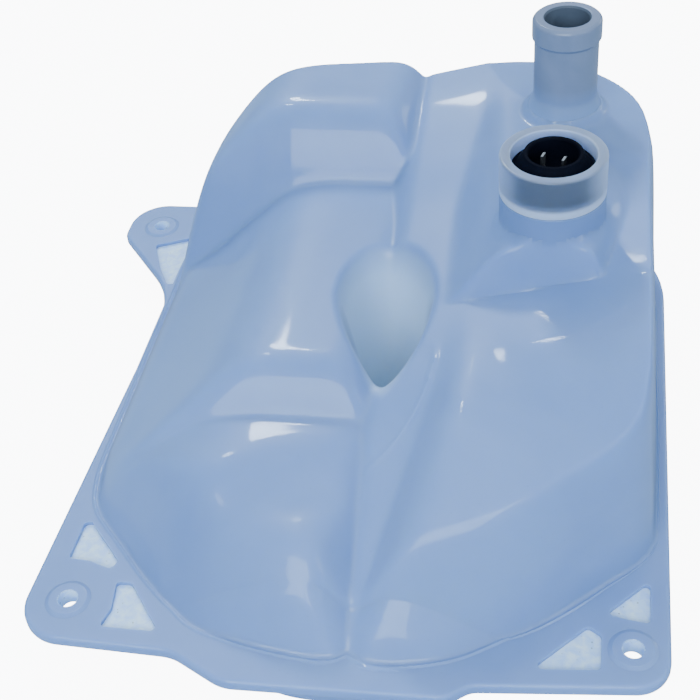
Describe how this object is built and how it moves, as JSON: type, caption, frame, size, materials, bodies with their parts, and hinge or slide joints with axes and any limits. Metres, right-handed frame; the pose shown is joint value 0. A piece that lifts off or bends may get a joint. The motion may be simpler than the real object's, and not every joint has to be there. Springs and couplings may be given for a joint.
{
  "type": "coolant expansion tank",
  "caption": "Blow-moulded translucent coolant expansion tank with bolt ears, a hose stub and a collar that holds a plug-in level sensor with a sliding float.",
  "frame": {"origin": "axis of the front left bolt hole, in the parting plane at half the thickness of the flange", "axes": "+X towards the front right bolt hole, +Y towards the rear of the tank, +Z out of the lobed side, along the hose stub"},
  "size_m": [0.2455, 0.2607, 0.1425],
  "materials": {
    "tank_plastic": "translucent milky blue, soft gloss",
    "collar_plastic": "frosted translucent white",
    "stub_plastic": "frosted translucent white",
    "sensor_plastic": "satin black",
    "seal_rubber": "matt",
    "contact_metal": "tin-plated",
    "reed_glass": "clear greenish",
    "lead_copper": "drawn wire",
    "float_foam": "matt foam skin",
    "magnet_ferrite": "matt dark grey",
    "clip_steel": "satin"
  },
  "bodies": {
    "tank": {"tank_body": "tank_plastic", "sensor_collar": "collar_plastic", "hose_stub": "stub_plastic", "sensor_body": "sensor_plastic", "sensor_seal": "seal_rubber", "contact_left": "contact_metal", "contact_right": "contact_metal", "reed_switch": "reed_glass", "lead_left": "lead_copper", "lead_right": "lead_copper", "float_clip": "clip_steel"},
    "float": {"float_ring": "float_foam", "float_magnet": "magnet_ferrite"}
  },
  "joints": [
    {"name": "float_slide", "type": "slide", "parent": "tank", "child": "float", "axis": [0, 0, 1], "range_m": [0, 0.018]}
  ]
}
